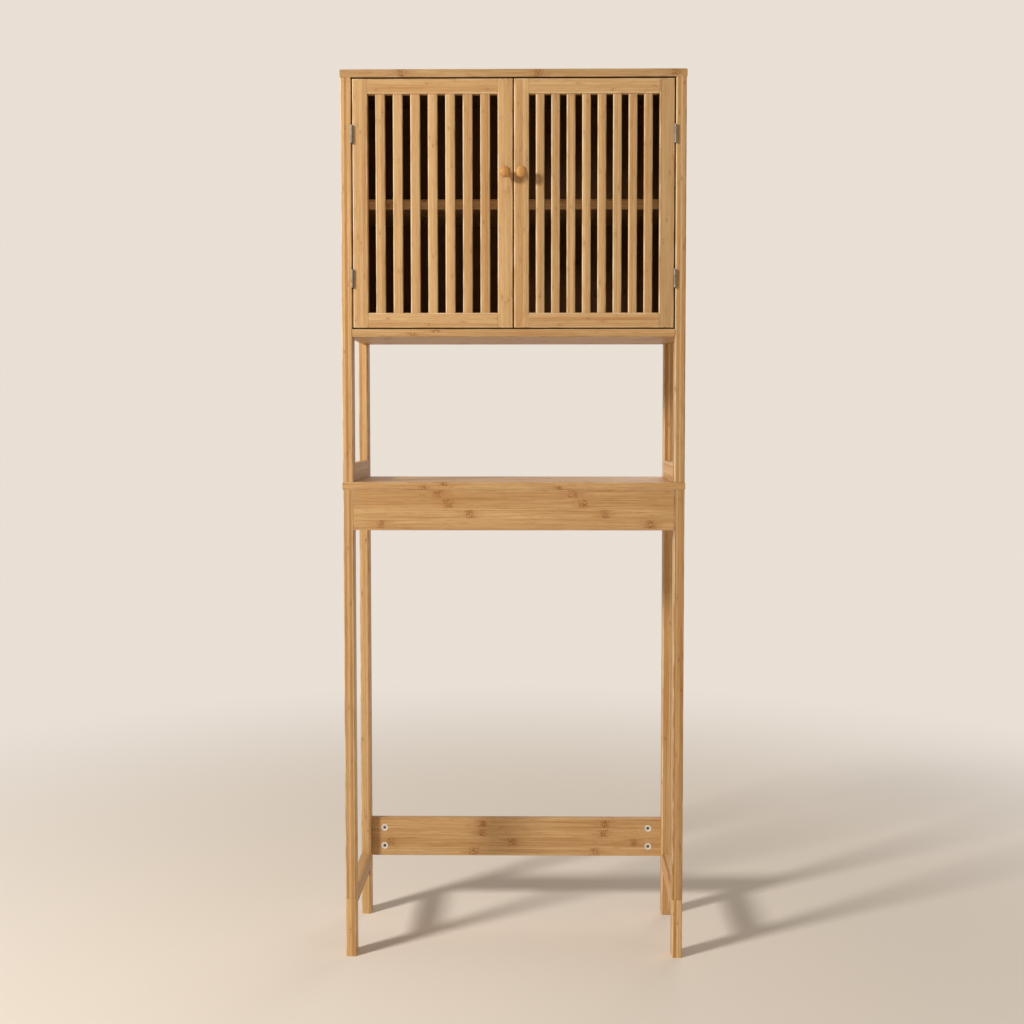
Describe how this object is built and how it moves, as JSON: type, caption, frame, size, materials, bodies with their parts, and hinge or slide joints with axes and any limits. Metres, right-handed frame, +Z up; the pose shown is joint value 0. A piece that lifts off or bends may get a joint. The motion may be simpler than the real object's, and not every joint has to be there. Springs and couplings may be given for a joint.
{
  "type": "over-toilet cabinet",
  "caption": "Tall free-standing bamboo cabinet on long legs that straddles a toilet, with a closed slatted-door cupboard above an open shelf.",
  "frame": {"origin": "on the floor, in the middle of the width, and of the depth measured with the knobs", "axes": "+X to the right as seen from the front, -Y out of the doors, +Z up"},
  "size_m": [0.66, 0.273, 1.716],
  "materials": {
    "bamboo_bars": "clear satin lacquer on laminated bamboo",
    "bamboo_boards": "clear satin lacquer on laminated bamboo",
    "knob_wood": "turned and lacquered bamboo",
    "back_board": "thin bamboo-faced board",
    "hinge_steel": "dull plated steel",
    "zinc_fittings": "cast zinc",
    "plated_steel": "zinc plated",
    "catch_plastic": "moulded brown plastic"
  },
  "bodies": {
    "cabinet": {"back_apron": "bamboo_bars", "back_panel": "back_board", "back_stretcher": "bamboo_bars", "cabinet_bottom": "bamboo_boards", "cam_fittings": "zinc_fittings", "door_catch": "catch_plastic", "front_apron": "bamboo_bars", "hinge_pins": "hinge_steel", "inner_shelf": "bamboo_boards", "left_apron": "bamboo_bars", "left_back_leg": "bamboo_bars", "left_back_post": "bamboo_bars", "left_front_leg": "bamboo_bars", "left_front_post": "bamboo_bars", "left_shelf_rail": "bamboo_bars", "left_side_panel": "bamboo_bars", "left_stretcher": "bamboo_bars", "open_shelf": "bamboo_boards", "post_hinge_leaves": "hinge_steel", "right_apron": "bamboo_bars", "right_back_leg": "bamboo_bars", "right_back_post": "bamboo_bars", "right_front_leg": "bamboo_bars", "right_front_post": "bamboo_bars", "right_shelf_rail": "bamboo_bars", "right_side_panel": "bamboo_bars", "right_stretcher": "bamboo_bars", "shelf_pins": "plated_steel", "top_panel": "bamboo_boards"},
    "left_door": {"left_door_bottom_rail": "bamboo_bars", "left_door_hinge_leaves": "hinge_steel", "left_door_hinge_stile": "bamboo_bars", "left_door_knob": "knob_wood", "left_door_knob_screw": "plated_steel", "left_door_meeting_stile": "bamboo_bars", "left_door_slat_1": "bamboo_bars", "left_door_slat_2": "bamboo_bars", "left_door_slat_3": "bamboo_bars", "left_door_slat_4": "bamboo_bars", "left_door_slat_5": "bamboo_bars", "left_door_slat_6": "bamboo_bars", "left_door_slat_7": "bamboo_bars", "left_door_strike": "plated_steel", "left_door_top_rail": "bamboo_bars"},
    "right_door": {"right_door_bottom_rail": "bamboo_bars", "right_door_hinge_leaves": "hinge_steel", "right_door_hinge_stile": "bamboo_bars", "right_door_knob": "knob_wood", "right_door_knob_screw": "plated_steel", "right_door_meeting_stile": "bamboo_bars", "right_door_slat_1": "bamboo_bars", "right_door_slat_2": "bamboo_bars", "right_door_slat_3": "bamboo_bars", "right_door_slat_4": "bamboo_bars", "right_door_slat_5": "bamboo_bars", "right_door_slat_6": "bamboo_bars", "right_door_slat_7": "bamboo_bars", "right_door_slat_8": "bamboo_bars", "right_door_strike": "plated_steel", "right_door_top_rail": "bamboo_bars"}
  },
  "joints": [
    {"name": "left_door_hinge", "type": "hinge", "parent": "cabinet", "child": "left_door", "pos_m": [-0.30775, -0.115, 1.463], "axis": [0, 0, -1], "range_deg": [0, 180]},
    {"name": "right_door_hinge", "type": "hinge", "parent": "cabinet", "child": "right_door", "pos_m": [0.30775, -0.115, 1.463], "axis": [0, 0, 1], "range_deg": [0, 180]}
  ]
}
